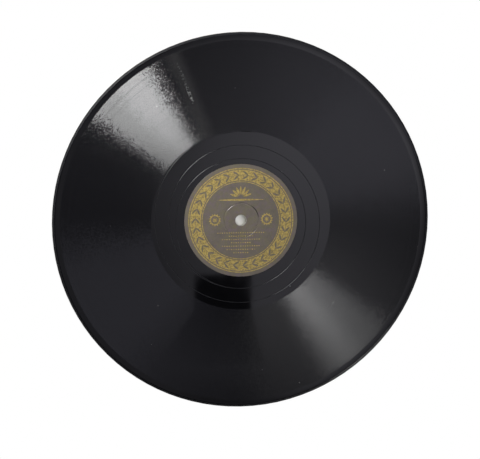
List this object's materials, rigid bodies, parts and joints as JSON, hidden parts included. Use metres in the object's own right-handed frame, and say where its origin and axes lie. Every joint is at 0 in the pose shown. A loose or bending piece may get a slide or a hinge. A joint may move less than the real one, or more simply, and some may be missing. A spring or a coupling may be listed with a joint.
{
  "type": "shellac record",
  "caption": "Flat black gramophone disc with a spindle hole, a paper label pressed into each face, a spiral groove, a lead-out and an eccentric stop groove.",
  "frame": {"origin": "centre of the spindle hole on the resting face, side B", "axes": "+Z along the spindle hole, out of side A; +Y towards the start of side A's lead-out, which is the top of the label"},
  "size_m": [0.254, 0.254, 0.0022],
  "materials": {
    "shellac": "gloss",
    "label_paper": "matt, printed and worn"
  },
  "bodies": {
    "root": {"record_disc": "shellac", "label_side_a": "label_paper", "label_side_b": "label_paper"}
  },
  "joints": []
}
